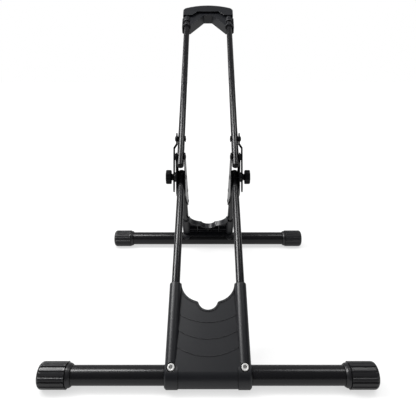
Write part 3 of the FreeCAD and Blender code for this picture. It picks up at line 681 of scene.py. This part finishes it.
# %% Rear rod rivets
RIVET_STATIONS = (63.5 * MM, 102.0 * MM)
RIVET_RADIUS = 2.5 * MM
RIVET_DOME_RADIUS = 4.0 * MM
RIVET_DOME = 1.1 * MM
rear_start, rear_axis, rear_length, _ = rod_line("rear_rod_left", True)
rear_top = rear_start + rear_axis * rear_length
knee_station = float((knee - rear_top) @ -rear_axis)
parts = []
for station in RIVET_STATIONS:
    point = rear_top - (station + knee_station) * rear_axis
    for _, side in SIDES:
        parts.append(rivet_mesh(point, side, RIVET_RADIUS, RIVET_DOME_RADIUS, RIVET_DOME))
rivets.append(group_piece("rear_rod_rivets", parts, "black_fastener"))
print("the rear rods end", round(-knee_station / MM, 2), "mm before the knee, along their axis")

# %% Bolts and nuts of the stays
ROD_RADIUS = rod_line("hoop_rod_left")[3]
STAY_STANDOFF = 1.2 * MM
SHEET = 2.0 * MM
PLAY = 0.1 * MM
STAY_OUT = ROD_RADIUS + STAY_STANDOFF + SHEET + PLAY
NUT_FLATS = 10.0 * MM
NUT_ROUND = 4.9 * MM
NUT_HEIGHT = 1.8 * MM
NUT_EDGE = 0.4 * MM
NUT_SINK = 3.4 * MM
THREAD_HOLE = 3.05 * MM
BOLT_TIP = 0.3 * MM
BOLT_TIP_RADIUS = 2.5 * MM
BOLT_TIP_CHAMFER = 0.5 * MM
BOLT_RADIUS = 3.0 * MM
BOLT_HEAD_RADIUS = 5.2 * MM
BOLT_HEAD = 2.9 * MM
BOLT_SOCKET = 4.0 * MM
SOCKET_LAND, SOCKET_LIP = 0.4 * MM, 0.1 * MM
SOCKET_SHARE, CONE_SHARE = 0.5, 0.6


def button_head(station, radius, height, corner):
    """Rows (station, radius, hexness) of a domed head with a hex socket in its crown."""
    dome = dome_profile(station, radius, height)
    rows = [(s, r, 0) for s, r in dome if r > corner + SOCKET_LAND]
    rim = rows[-1][0]
    return rows + [(rim + SOCKET_LIP, corner, 1), (rim - SOCKET_SHARE * height, corner, 1),
                   (rim - CONE_SHARE * height, PIN_POLE, 1)]


bolts, nuts = [], []
for _, side in SIDES:
    top = side * (SIDE_X + STAY_OUT)
    head_station = ROD_RADIUS + NUT_HEIGHT + BOLT_TIP + STAY_OUT
    collar_end = head_station - SHEET - 2 * PLAY
    collar_start = collar_end - STAY_STANDOFF + 2 * PLAY
    rows = [(0, PIN_POLE, 0), (0, BOLT_TIP_RADIUS, 0), (BOLT_TIP_CHAMFER, BOLT_RADIUS, 0),
            (collar_start, BOLT_RADIUS, 0), (collar_start, BOLT_HEAD_RADIUS, 0),
            (collar_end, BOLT_HEAD_RADIUS, 0), (collar_end, BOLT_RADIUS, 0),
            (head_station, BOLT_RADIUS, 0)]
    rows = np.array(rows + button_head(head_station, BOLT_HEAD_RADIUS, BOLT_HEAD,
                                       BOLT_SOCKET / math.sqrt(3)))
    bolts.append(turned_mesh((top - side * head_station, stay_pivot[1], stay_pivot[2]),
                             (side, 0, 0), rows[:, :2], SCREW_STEPS, hexed(rows[:, 2])))
    corner = NUT_FLATS / math.sqrt(3)
    rows = np.array([(0, THREAD_HOLE, 0), (0, NUT_ROUND, 0), (NUT_EDGE, corner, 1),
                     (NUT_HEIGHT - NUT_EDGE, corner, 1), (NUT_HEIGHT, NUT_ROUND, 0),
                     (NUT_HEIGHT, NUT_SINK, 0), (NUT_HEIGHT - NUT_EDGE, THREAD_HOLE, 0)])
    nuts.append(turned_mesh((side * (SIDE_X - ROD_RADIUS), stay_pivot[1], stay_pivot[2]),
                            (-side, 0, 0), rows[:, :2], SCREW_STEPS, hexed(rows[:, 2]),
                            ring=True))
group_piece("stay_bolts", bolts, "black_fastener")
group_piece("stay_nuts", nuts, "black_fastener")
print("stay bolts and nuts at", (stay_pivot / MM).round(1))

# %% Screws at the back of the head
HOOP_LENGTH = 371.0 * MM
HEAD_BACK = 19.0 * MM
HEAD_SCREW_STATION = 27.5 * MM
HEAD_SCREW_LENGTH = 13.0 * MM
HEAD_SCREW_RADIUS = 2.0 * MM
HEAD_SCREW_HEAD_RADIUS = 3.8 * MM
HEAD_SCREW_HEAD = 2.4 * MM
HEAD_SCREW_SOCKET = 2.5 * MM
hoop_axis = rod_line("hoop_rod_left")[1]
backwards = np.array([0, hoop_axis[2], -hoop_axis[1]])
seat = hoop_pivot + (HOOP_LENGTH + HEAD_SCREW_STATION) * hoop_axis + HEAD_BACK * backwards
rows = np.array([(-HEAD_SCREW_LENGTH, PIN_POLE, 0), (-HEAD_SCREW_LENGTH, HEAD_SCREW_RADIUS, 0),
                 (0, HEAD_SCREW_RADIUS, 0)]
                + button_head(0, HEAD_SCREW_HEAD_RADIUS, HEAD_SCREW_HEAD,
                              HEAD_SCREW_SOCKET / math.sqrt(3)))
parts = [turned_mesh((side * SIDE_X, seat[1], seat[2]), backwards, rows[:, :2], SCREW_STEPS,
                     hexed(rows[:, 2])) for _, side in SIDES]
group_piece("head_screws", parts, "black_fastener")
print("head screws at", (seat / MM).round(1))


# %% Washers, spacers and threaded inserts
WASHER = 1.0 * MM
RING_EDGE = 0.25 * MM
RING_STEPS = 72


def washer_mesh(x_from, x_to, inner, outer):
    """A flat ring about the knee between two places across the width."""
    middle, thick = (inner + outer) / 2, x_to - x_from
    profile = rounded([(0, middle), (0, outer), (thick, outer), (thick, inner), (0, inner),
                       (0, middle)], RING_EDGE)[:-1]
    return turned_mesh((x_from, knee[1], knee[2]), (1, 0, 0), profile, RING_STEPS, ring=True)


def pair_of_rings(node, thick):
    """Both rings of a node; its box gives their outer faces and their diameter."""
    low, high = (np.array(corner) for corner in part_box(node))
    radius = (high[2] - low[2]) / 2
    return group_piece(node, [washer_mesh(high[0] - thick, high[0], THREAD_HOLE, radius),
                              washer_mesh(low[0], low[0] + thick, THREAD_HOLE, radius)],
                       "black_fastener")


spacer_end = float(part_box("stay_spacers")[1].x)
rings = [pair_of_rings("stay_spacers", spacer_end - SIDE_X - PLATE_OUTSIDE),
         pair_of_rings("knob_washers", WASHER)]
for name, _ in SIDES:
    low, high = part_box("knob_insert_" + name)
    insert = washer_mesh(low.x, high.x, THREAD_HOLE, (high.z - low.z) / 2)
    rings.append(stand_in("knob_insert_" + name, insert, "brass"))
print(len(rings), "rings")

# %% [markdown]
# ## Shader groups
#
# Four effects are used by all finishes, so each is a node group. The grain puts out a
# fine height and large soft clouds, both from noise in object space, with their sizes
# given in millimetres. The edge wear compares the surface normal with a bevelled one:
# where the two differ an edge is near. The dust mask is noise on what faces upwards. The
# creases group tells open surface from narrow corners by ambient occlusion. There the
# finishes paint shade: they turn black, and their specular level mirrors next to nothing.

# %% Group helpers
FLOAT, VECTOR = "NodeSocketFloat", "NodeSocketVector"


def new_group(name, inputs, outputs):
    """An empty shader group with named float or vector sockets."""
    group = bpy.data.node_groups.new(name, "ShaderNodeTree")
    for label, kind, value in inputs:
        made = group.interface.new_socket(label, in_out="INPUT", socket_type=kind)
        if value is not None:
            made.default_value = value
    for label, kind in outputs:
        group.interface.new_socket(label, in_out="OUTPUT", socket_type=kind)
    return group, group.nodes.new("NodeGroupInput"), group.nodes.new("NodeGroupOutput")


def math_node(tree, operation, a, b=None):
    """A Math node whose inputs are sockets or numbers."""
    node = tree.nodes.new("ShaderNodeMath")
    node.operation = operation
    for socket, value in zip(node.inputs, (a, b)):
        if isinstance(value, (int, float)):
            socket.default_value = value
        elif value is not None:
            tree.links.new(value, socket)
    return node.outputs[0]


def map_range(tree, value, ends, results, smooth=False):
    """A Map Range node that takes a value from one pair of ends to another pair."""
    node = tree.nodes.new("ShaderNodeMapRange")
    if smooth:
        node.interpolation_type = "SMOOTHSTEP"
    for label, number in zip(("From Min", "From Max", "To Min", "To Max"), (*ends, *results)):
        node.inputs[label].default_value = number
    tree.links.new(value, node.inputs["Value"])
    return node.outputs["Result"]


def mixed(tree, share, first, second, kind="RGBA"):
    """A Mix node between two sockets, colours or numbers, by the share of the second."""
    node = tree.nodes.new("ShaderNodeMix")
    node.data_type = kind
    tree.links.new(share, node.inputs["Factor"])
    for label, value in (("A", first), ("B", second)):
        if isinstance(value, bpy.types.NodeSocket):
            tree.links.new(value, node.inputs[label])
        else:
            node.inputs[label].default_value = (*value, 1) if kind == "RGBA" else value
    return node.outputs["Result"]


def noise(tree, place, scale, detail):
    """The value of a Noise texture, whose scale is a socket or a number."""
    node = tree.nodes.new("ShaderNodeTexNoise")
    node.inputs["Detail"].default_value = detail
    tree.links.new(place, node.inputs["Vector"])
    if isinstance(scale, bpy.types.NodeSocket):
        tree.links.new(scale, node.inputs["Scale"])
    else:
        node.inputs["Scale"].default_value = scale
    return node.outputs["Fac"]


# %% Grain
PIT_SHARE = 0.5
grain, given, out = new_group(
    "grain", [("Vector", VECTOR, None), ("Size", FLOAT, 0.5), ("Cloud", FLOAT, 30.0)],
    [("Height", FLOAT), ("Clouds", FLOAT)])
place = given.outputs["Vector"]
grain_scale = math_node(grain, "DIVIDE", 1 / MM, given.outputs["Size"])
fine = noise(grain, place, grain_scale, 3.0)
cells = grain.nodes.new("ShaderNodeTexVoronoi")
grain.links.new(place, cells.inputs["Vector"])
grain.links.new(grain_scale, cells.inputs["Scale"])
cloud_scale = math_node(grain, "DIVIDE", 1 / MM, given.outputs["Cloud"])
clouds = noise(grain, place, cloud_scale, 4.0)
pits = math_node(grain, "MULTIPLY", cells.outputs["Distance"], PIT_SHARE)
grain.links.new(math_node(grain, "ADD", fine, pits), out.inputs["Height"])
grain.links.new(clouds, out.inputs["Clouds"])
print("grain group:", [socket.name for socket in grain.interface.items_tree])

# %% Edge wear
PATCH_SCALE = 160.0
EDGE_GAIN = 8.0
wear, given, out = new_group(
    "edge wear", [("Vector", VECTOR, None), ("Radius", FLOAT, 0.0006), ("Amount", FLOAT, 0.5)],
    [("Mask", FLOAT)])
bevel = wear.nodes.new("ShaderNodeBevel")
bevel.samples = 4
wear.links.new(given.outputs["Radius"], bevel.inputs["Radius"])
surface = wear.nodes.new("ShaderNodeNewGeometry")
likeness = wear.nodes.new("ShaderNodeVectorMath")
likeness.operation = "DOT_PRODUCT"
wear.links.new(bevel.outputs["Normal"], likeness.inputs[0])
wear.links.new(surface.outputs["Normal"], likeness.inputs[1])
turn_away = math_node(wear, "SUBTRACT", 1.0, likeness.outputs["Value"])
patches = noise(wear, given.outputs["Vector"], PATCH_SCALE, 2.0)
edge = math_node(wear, "MULTIPLY", turn_away, EDGE_GAIN)
patchy = math_node(wear, "MULTIPLY", edge, patches)
scaled = math_node(wear, "MULTIPLY", patchy, given.outputs["Amount"])
wear.links.new(math_node(wear, "MINIMUM", scaled, 1.0), out.inputs["Mask"])
print("edge wear group:", len(wear.nodes), "nodes")

# %% Dust
SPECK_SCALE = 900.0
SPECKS = (0.5, 0.8)
dust, given, out = new_group(
    "dust", [("Vector", VECTOR, None), ("Amount", FLOAT, 0.3)], [("Mask", FLOAT)])
surface = dust.nodes.new("ShaderNodeNewGeometry")
parts_of = dust.nodes.new("ShaderNodeSeparateXYZ")
dust.links.new(surface.outputs["Normal"], parts_of.inputs[0])
upward = math_node(dust, "MAXIMUM", parts_of.outputs["Z"], 0.0)
specks = noise(dust, given.outputs["Vector"], SPECK_SCALE, 5.0)
fallen = math_node(dust, "MULTIPLY", upward, map_range(dust, specks, SPECKS, (0.0, 1.0)))
dust.links.new(math_node(dust, "MULTIPLY", fallen, given.outputs["Amount"]), out.inputs["Mask"])
print("dust group:", len(dust.nodes), "nodes")

# %% Creases: painted shade
# The free share of the half sphere within reach is taken from these ends to 0.1 and 1.
# The finishes use it to paint shade into narrow corners.
FREE_SHARE = (0.5, 0.95)
crease_shade, given, out = new_group("creases", [("Reach", FLOAT, 0.002)], [("Open", FLOAT)])
around = crease_shade.nodes.new("ShaderNodeAmbientOcclusion")
around.samples = 6
crease_shade.links.new(given.outputs["Reach"], around.inputs["Distance"])
crease_shade.links.new(map_range(crease_shade, around.outputs["AO"], FREE_SHARE, (0.1, 1.0)),
                 out.inputs["Open"])
print("creases group:", len(crease_shade.nodes), "nodes")

# %% [markdown]
# ## Finishes
#
# A finish is one Principled shader fed by the groups. Its colour goes from clean to worn
# at the edges and to dust on top. In the creases it is painted black, and its specular
# level falls there too; both are painted shade. Its roughness drifts with the clouds, and
# its bump comes from the grain. What is the same all over is set on the shader itself.

# %% One maker for all finishes
CLOUD_SIZE = 30.0
CLOUD_VALUES = (0.3, 0.7)
WORN_WIDTH = 0.6 * MM
DUST_TINT = (0.32, 0.31, 0.29)
# The colour of the painted shade in creases.
CREASE_SHADE_COLOUR = (0, 0, 0)


def finish(name, colour, worn, roughness, grain_size, bump, wear_amount, dust_amount,
           metallic=0.0, specular=0.5, spread=0.08, mottle=1.15, reach=2.0):
    """A material from the four groups. Its roughness drifts between roughness - spread
    and roughness + spread and its colour between colour and mottle * colour. Painted shade
    darkens the creases. The grain's size, the bump's height and the reach of the creases
    are in millimetres."""
    material = bpy.data.materials.new(name)
    material.use_nodes = True
    tree = material.node_tree
    shader = tree.nodes["Principled BSDF"]
    place = tree.nodes.new("ShaderNodeTexCoord")

    def grouped(group, **values):
        node = tree.nodes.new("ShaderNodeGroup")
        node.node_tree = group
        if "Vector" in node.inputs:
            tree.links.new(place.outputs["Object"], node.inputs["Vector"])
        for label, value in values.items():
            node.inputs[label].default_value = value
        return node.outputs

    grained = grouped(grain, Size=grain_size, Cloud=CLOUD_SIZE)
    worn_edge = grouped(wear, Radius=WORN_WIDTH, Amount=wear_amount)["Mask"]
    dusted = grouped(dust, Amount=dust_amount)["Mask"]
    unshaded_share = grouped(crease_shade, Reach=reach * MM)["Open"]

    shade = mixed(tree, grained["Clouds"], colour, [c * mottle for c in colour])
    shade = mixed(tree, worn_edge, shade, worn)
    shade = mixed(tree, dusted, shade, DUST_TINT)
    # Painted shade: the colour goes to black in the creases.
    shade = mixed(tree, unshaded_share, CREASE_SHADE_COLOUR, shade)
    tree.links.new(shade, shader.inputs["Base Color"])
    tree.links.new(map_range(tree, grained["Clouds"], CLOUD_VALUES,
                             (roughness - spread, roughness + spread)),
                   shader.inputs["Roughness"])

    relief = tree.nodes.new("ShaderNodeBump")
    relief.inputs["Strength"].default_value = 1.0
    relief.inputs["Distance"].default_value = bump * MM
    tree.links.new(grained["Height"], relief.inputs["Height"])
    tree.links.new(relief.outputs["Normal"], shader.inputs["Normal"])

    shader.inputs["Metallic"].default_value = metallic
    # Painted shade: the specular level falls in the creases.
    tree.links.new(math_node(tree, "MULTIPLY", unshaded_share, specular),
                   shader.inputs["Specular IOR Level"])
    return material


# %% The finishes
COAT = {"colour": (0.006, 0.006, 0.007), "worn": (0.05, 0.05, 0.052), "grain_size": 0.7,
        "wear_amount": 0.25, "dust_amount": 0.01}

finishes = {
    "powder_coat": finish("satin black powder coat", **COAT,
                          roughness=0.26, bump=0.0005, specular=0.42, spread=0.01),
    "dull_sheet": finish("dull black coat on sheet steel", **COAT,
                         roughness=0.6, bump=0.002, specular=0.0),
    "moulded_plastic": finish("charcoal glass-filled plastic",
                              colour=(0.0048, 0.0054, 0.0078), worn=(0.10, 0.10, 0.105),
                              roughness=0.42, grain_size=0.35, bump=0.002,
                              wear_amount=0.5, dust_amount=0.01,
                              specular=0.58, spread=0.015, mottle=1.08),
    "cap_rubber": finish("matt moulded rubber",
                         colour=(0.010, 0.010, 0.0115), worn=(0.045, 0.045, 0.048),
                         roughness=0.34, grain_size=0.45, bump=0.0008,
                         wear_amount=0.3, dust_amount=0.02,
                         specular=0.55, spread=0.02, reach=1.2),
    "plug_plastic": finish("black plug plastic",
                           colour=(0.006, 0.006, 0.0065), worn=(0.03, 0.03, 0.032),
                           roughness=0.36, grain_size=0.4, bump=0.004,
                           wear_amount=0.2, dust_amount=0.01, specular=0.2),
    "knob_plastic": finish("black knob plastic",
                           colour=(0.004, 0.004, 0.005), worn=(0.03, 0.03, 0.032),
                           roughness=0.4, grain_size=0.3, bump=0.006,
                           wear_amount=0.3, dust_amount=0.01, specular=0.14),
    "bright_screw": finish("bright zinc plate",
                           colour=(0.6, 0.6, 0.59), worn=(0.8, 0.8, 0.8),
                           roughness=0.5, grain_size=0.25, bump=0.002,
                           wear_amount=0.3, dust_amount=0.0,
                           metallic=0.4, spread=0.04, reach=1.5),
    "black_fastener": finish("black oxide steel",
                             colour=(0.03, 0.03, 0.031), worn=(0.25, 0.25, 0.25),
                             roughness=0.36, grain_size=0.3, bump=0.01,
                             wear_amount=0.25, dust_amount=0.02, metallic=0.6),
    "brass": finish("turned brass",
                    colour=(0.75, 0.56, 0.26), worn=(0.85, 0.7, 0.4),
                    roughness=0.28, grain_size=0.3, bump=0.01,
                    wear_amount=0.2, dust_amount=0.0, metallic=1.0),
}
print(len(finishes), "finishes")

# %% [markdown]
# ## Dressing the pieces
#
# Each piece gets the finish that its slot names. The stays and the outer plates are
# powder coated like the rods and keep that slot, but the picture shows them black with no
# gloss, so they get the dull coat instead.

# %% Dressing the pieces
DULL = ("stay_left", "stay_right", "hinge_plate_outer")
slots = {part["node"]: part["material_slot"] for part in frame["record"]["subparts"]}
dressed = dict.fromkeys(finishes, 0)
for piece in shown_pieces():
    kind = piece.get("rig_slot") or slots[piece.name]
    if piece.name.startswith(DULL):
        kind = "dull_sheet"
    piece.data.materials.clear()
    piece.data.materials.append(finishes[kind])
    for polygon in piece.data.polygons:
        polygon.material_index = 0
    dressed[kind] += 1
print(dressed)

# %% [markdown]
# ## Floor
#
# The picture was taken on a white sweep. The floor's own grey is dark, and a lift that
# only camera, mirror and glass rays see makes it white to the eye. The lift grows with
# the distance and falls close to whatever stands on the floor, which paints a contact
# shadow; no lamp is raised for it. Mirrors and glass see less than half of it, to keep the
# black pieces dark.

# %% Rays from the camera, from mirrors and from glass
def ray_kinds(tree):
    """Whether a ray comes from the camera, and whether it comes from a mirror or glass."""
    rays = tree.nodes.new("ShaderNodeLightPath")
    bounced = math_node(tree, "MAXIMUM", rays.outputs["Is Glossy Ray"],
                        rays.outputs["Is Transmission Ray"])
    return rays.outputs["Is Camera Ray"], bounced


# %% Floor
FLOOR_HALF = 6.0
FLOOR_FRONT = -0.62
FLOOR_GREY = 0.18
FLOOR_ROUGHNESS = 0.9
FLOOR_SPECULAR = 0.1
EYE_LIFT = 0.82
FAR_LIFT = 1.0
NEAR, FAR = 0.7, 2.0
CONTACT_REACH = 0.016
CONTACT_FREE = (0.3, 0.8)
CONTACT_SHADE = 0.75
MIRRORED = 0.45
floor_mesh = bpy.data.meshes.new("floor")
corners = np.array([(x, y, 0) for x, y in ((-FLOOR_HALF, FLOOR_FRONT), (FLOOR_HALF, FLOOR_FRONT),
                                           (FLOOR_HALF, FLOOR_HALF), (-FLOOR_HALF, FLOOR_HALF))])
floor_mesh.from_pydata(corners, [], [(0, 1, 2, 3)])
floor = bpy.data.objects.new("floor", floor_mesh)
bpy.context.scene.collection.objects.link(floor)
print("floor", 2 * FLOOR_HALF, "m wide, its front edge at", FLOOR_FRONT, "m")

# %% The floor's paper
paper = bpy.data.materials.new("white sweep")
paper.use_nodes = True
tree = paper.node_tree
shader = tree.nodes["Principled BSDF"]
shader.inputs["Base Color"].default_value = (FLOOR_GREY, FLOOR_GREY, FLOOR_GREY, 1)
shader.inputs["Roughness"].default_value = FLOOR_ROUGHNESS
shader.inputs["Specular IOR Level"].default_value = FLOOR_SPECULAR
shader.inputs["Emission Color"].default_value = (1, 1, 1, 1)
to_eye, bounced = ray_kinds(tree)
seen = math_node(tree, "MAXIMUM", to_eye, math_node(tree, "MULTIPLY", bounced, MIRRORED))
place = tree.nodes.new("ShaderNodeTexCoord")
away = tree.nodes.new("ShaderNodeVectorMath")
away.operation = "LENGTH"
tree.links.new(place.outputs["Object"], away.inputs[0])
lift = map_range(tree, away.outputs["Value"], (NEAR, FAR), (EYE_LIFT, FAR_LIFT), smooth=True)
# Painted contact shadow: ambient occlusion near whatever stands on the floor lowers the lift.
around = tree.nodes.new("ShaderNodeAmbientOcclusion")
around.samples = 12
around.inputs["Distance"].default_value = CONTACT_REACH
painted_contact_shadow = map_range(tree, around.outputs["AO"], CONTACT_FREE, (CONTACT_SHADE, 1.0))
lifted = math_node(tree, "MULTIPLY", lift, painted_contact_shadow)
tree.links.new(math_node(tree, "MULTIPLY", seen, lifted), shader.inputs["Emission Strength"])
floor_mesh.materials.append(paper)
print("lift for the eye", EYE_LIFT, "to", FAR_LIFT, "and", MIRRORED, "of it for mirrors")

# %% [markdown]
# ## Room
#
# The world stands for the room. To the eye it is white, and to dull surfaces it is the
# same on all sides. To a mirror or glass it is nearly black in front of the rack and dim
# behind it, so the tubes are dark between their highlights and pale below, where they
# mirror the floor.

# %% World
ROOM = 0.8
FRONT_ROOM = 0.04
BACK_ROOM = 0.3
FRONT_TO_BACK = (0.1, 0.7)
world = bpy.data.worlds.new("studio")
bpy.context.scene.world = world
world.use_nodes = True
tree = world.node_tree
sky = tree.nodes["Background"]
sky.inputs["Color"].default_value = (1, 1, 1, 1)
place = tree.nodes.new("ShaderNodeTexCoord")
direction = tree.nodes.new("ShaderNodeSeparateXYZ")
tree.links.new(place.outputs["Generated"], direction.inputs[0])
reflected = map_range(tree, direction.outputs["Y"], FRONT_TO_BACK, (FRONT_ROOM, BACK_ROOM),
                      smooth=True)
to_eye, bounced = ray_kinds(tree)
level = mixed(tree, bounced, ROOM, reflected, "FLOAT")
tree.links.new(mixed(tree, to_eye, level, 1.0, "FLOAT"), sky.inputs["Strength"])
print("room", ROOM, "to mirrors", FRONT_ROOM, "in front and", BACK_ROOM, "behind")

# %% [markdown]
# ## Lamps
#
# Two soft lamps hang high on either side of the rack and draw the pale line along the
# foot tubes, but none hangs over the middle, where the leaning rods would mirror it. Two
# smaller boxes hang at the left, one placed for the front rods and sleeves and one for
# the hoop: each lies where a ray from the camera leaves the rod after it meets it about
# three tenths of the way across.

# %% Lamps
NEARLY_UPRIGHT = 0.9
LAMPS = (
    {"name": "overhead left", "place": (-0.8, -0.05, 1.7), "aim": (-0.3, -0.05, 0),
     "width": 0.8, "height": 0.34, "watts": 15.5},
    {"name": "overhead right", "place": (0.85, 0.0, 1.7), "aim": (0.3, 0.0, 0),
     "width": 0.7, "height": 0.34, "watts": 5.0},
    {"name": "left box for the legs", "place": (-1.28, -0.2, 1.34), "aim": (-0.05, -0.2, 0.08),
     "width": 0.38, "height": 0.38, "watts": 15.0},
    {"name": "left box for the hoop", "place": (-1.36, 0.93, 1.57), "aim": (-0.05, 0.06, 0.36),
     "width": 0.5, "height": 0.25, "watts": 4.5},
)


def softbox(name, place, aim, width, height, watts):
    """A rectangular lamp at place that faces aim."""
    data = bpy.data.lights.new(name, "AREA")
    data.shape = "RECTANGLE"
    data.size, data.size_y = width, height
    data.energy = watts
    lamp = bpy.data.objects.new(name, data)
    bpy.context.scene.collection.objects.link(lamp)
    back = np.array(place, float) - np.array(aim, float)
    back /= np.linalg.norm(back)
    right = np.cross((0, 1.0, 0.001) if abs(back[2]) > NEARLY_UPRIGHT else (0, 0, 1.0), back)
    right /= np.linalg.norm(right)
    turn = np.stack([right, np.cross(back, right), back], 1)
    lamp.matrix_world = Matrix([[*row, p] for row, p in zip(turn, place)] + [[0, 0, 0, 1]])


for lamp in LAMPS:
    softbox(**lamp)
print(len(LAMPS), "lamps")
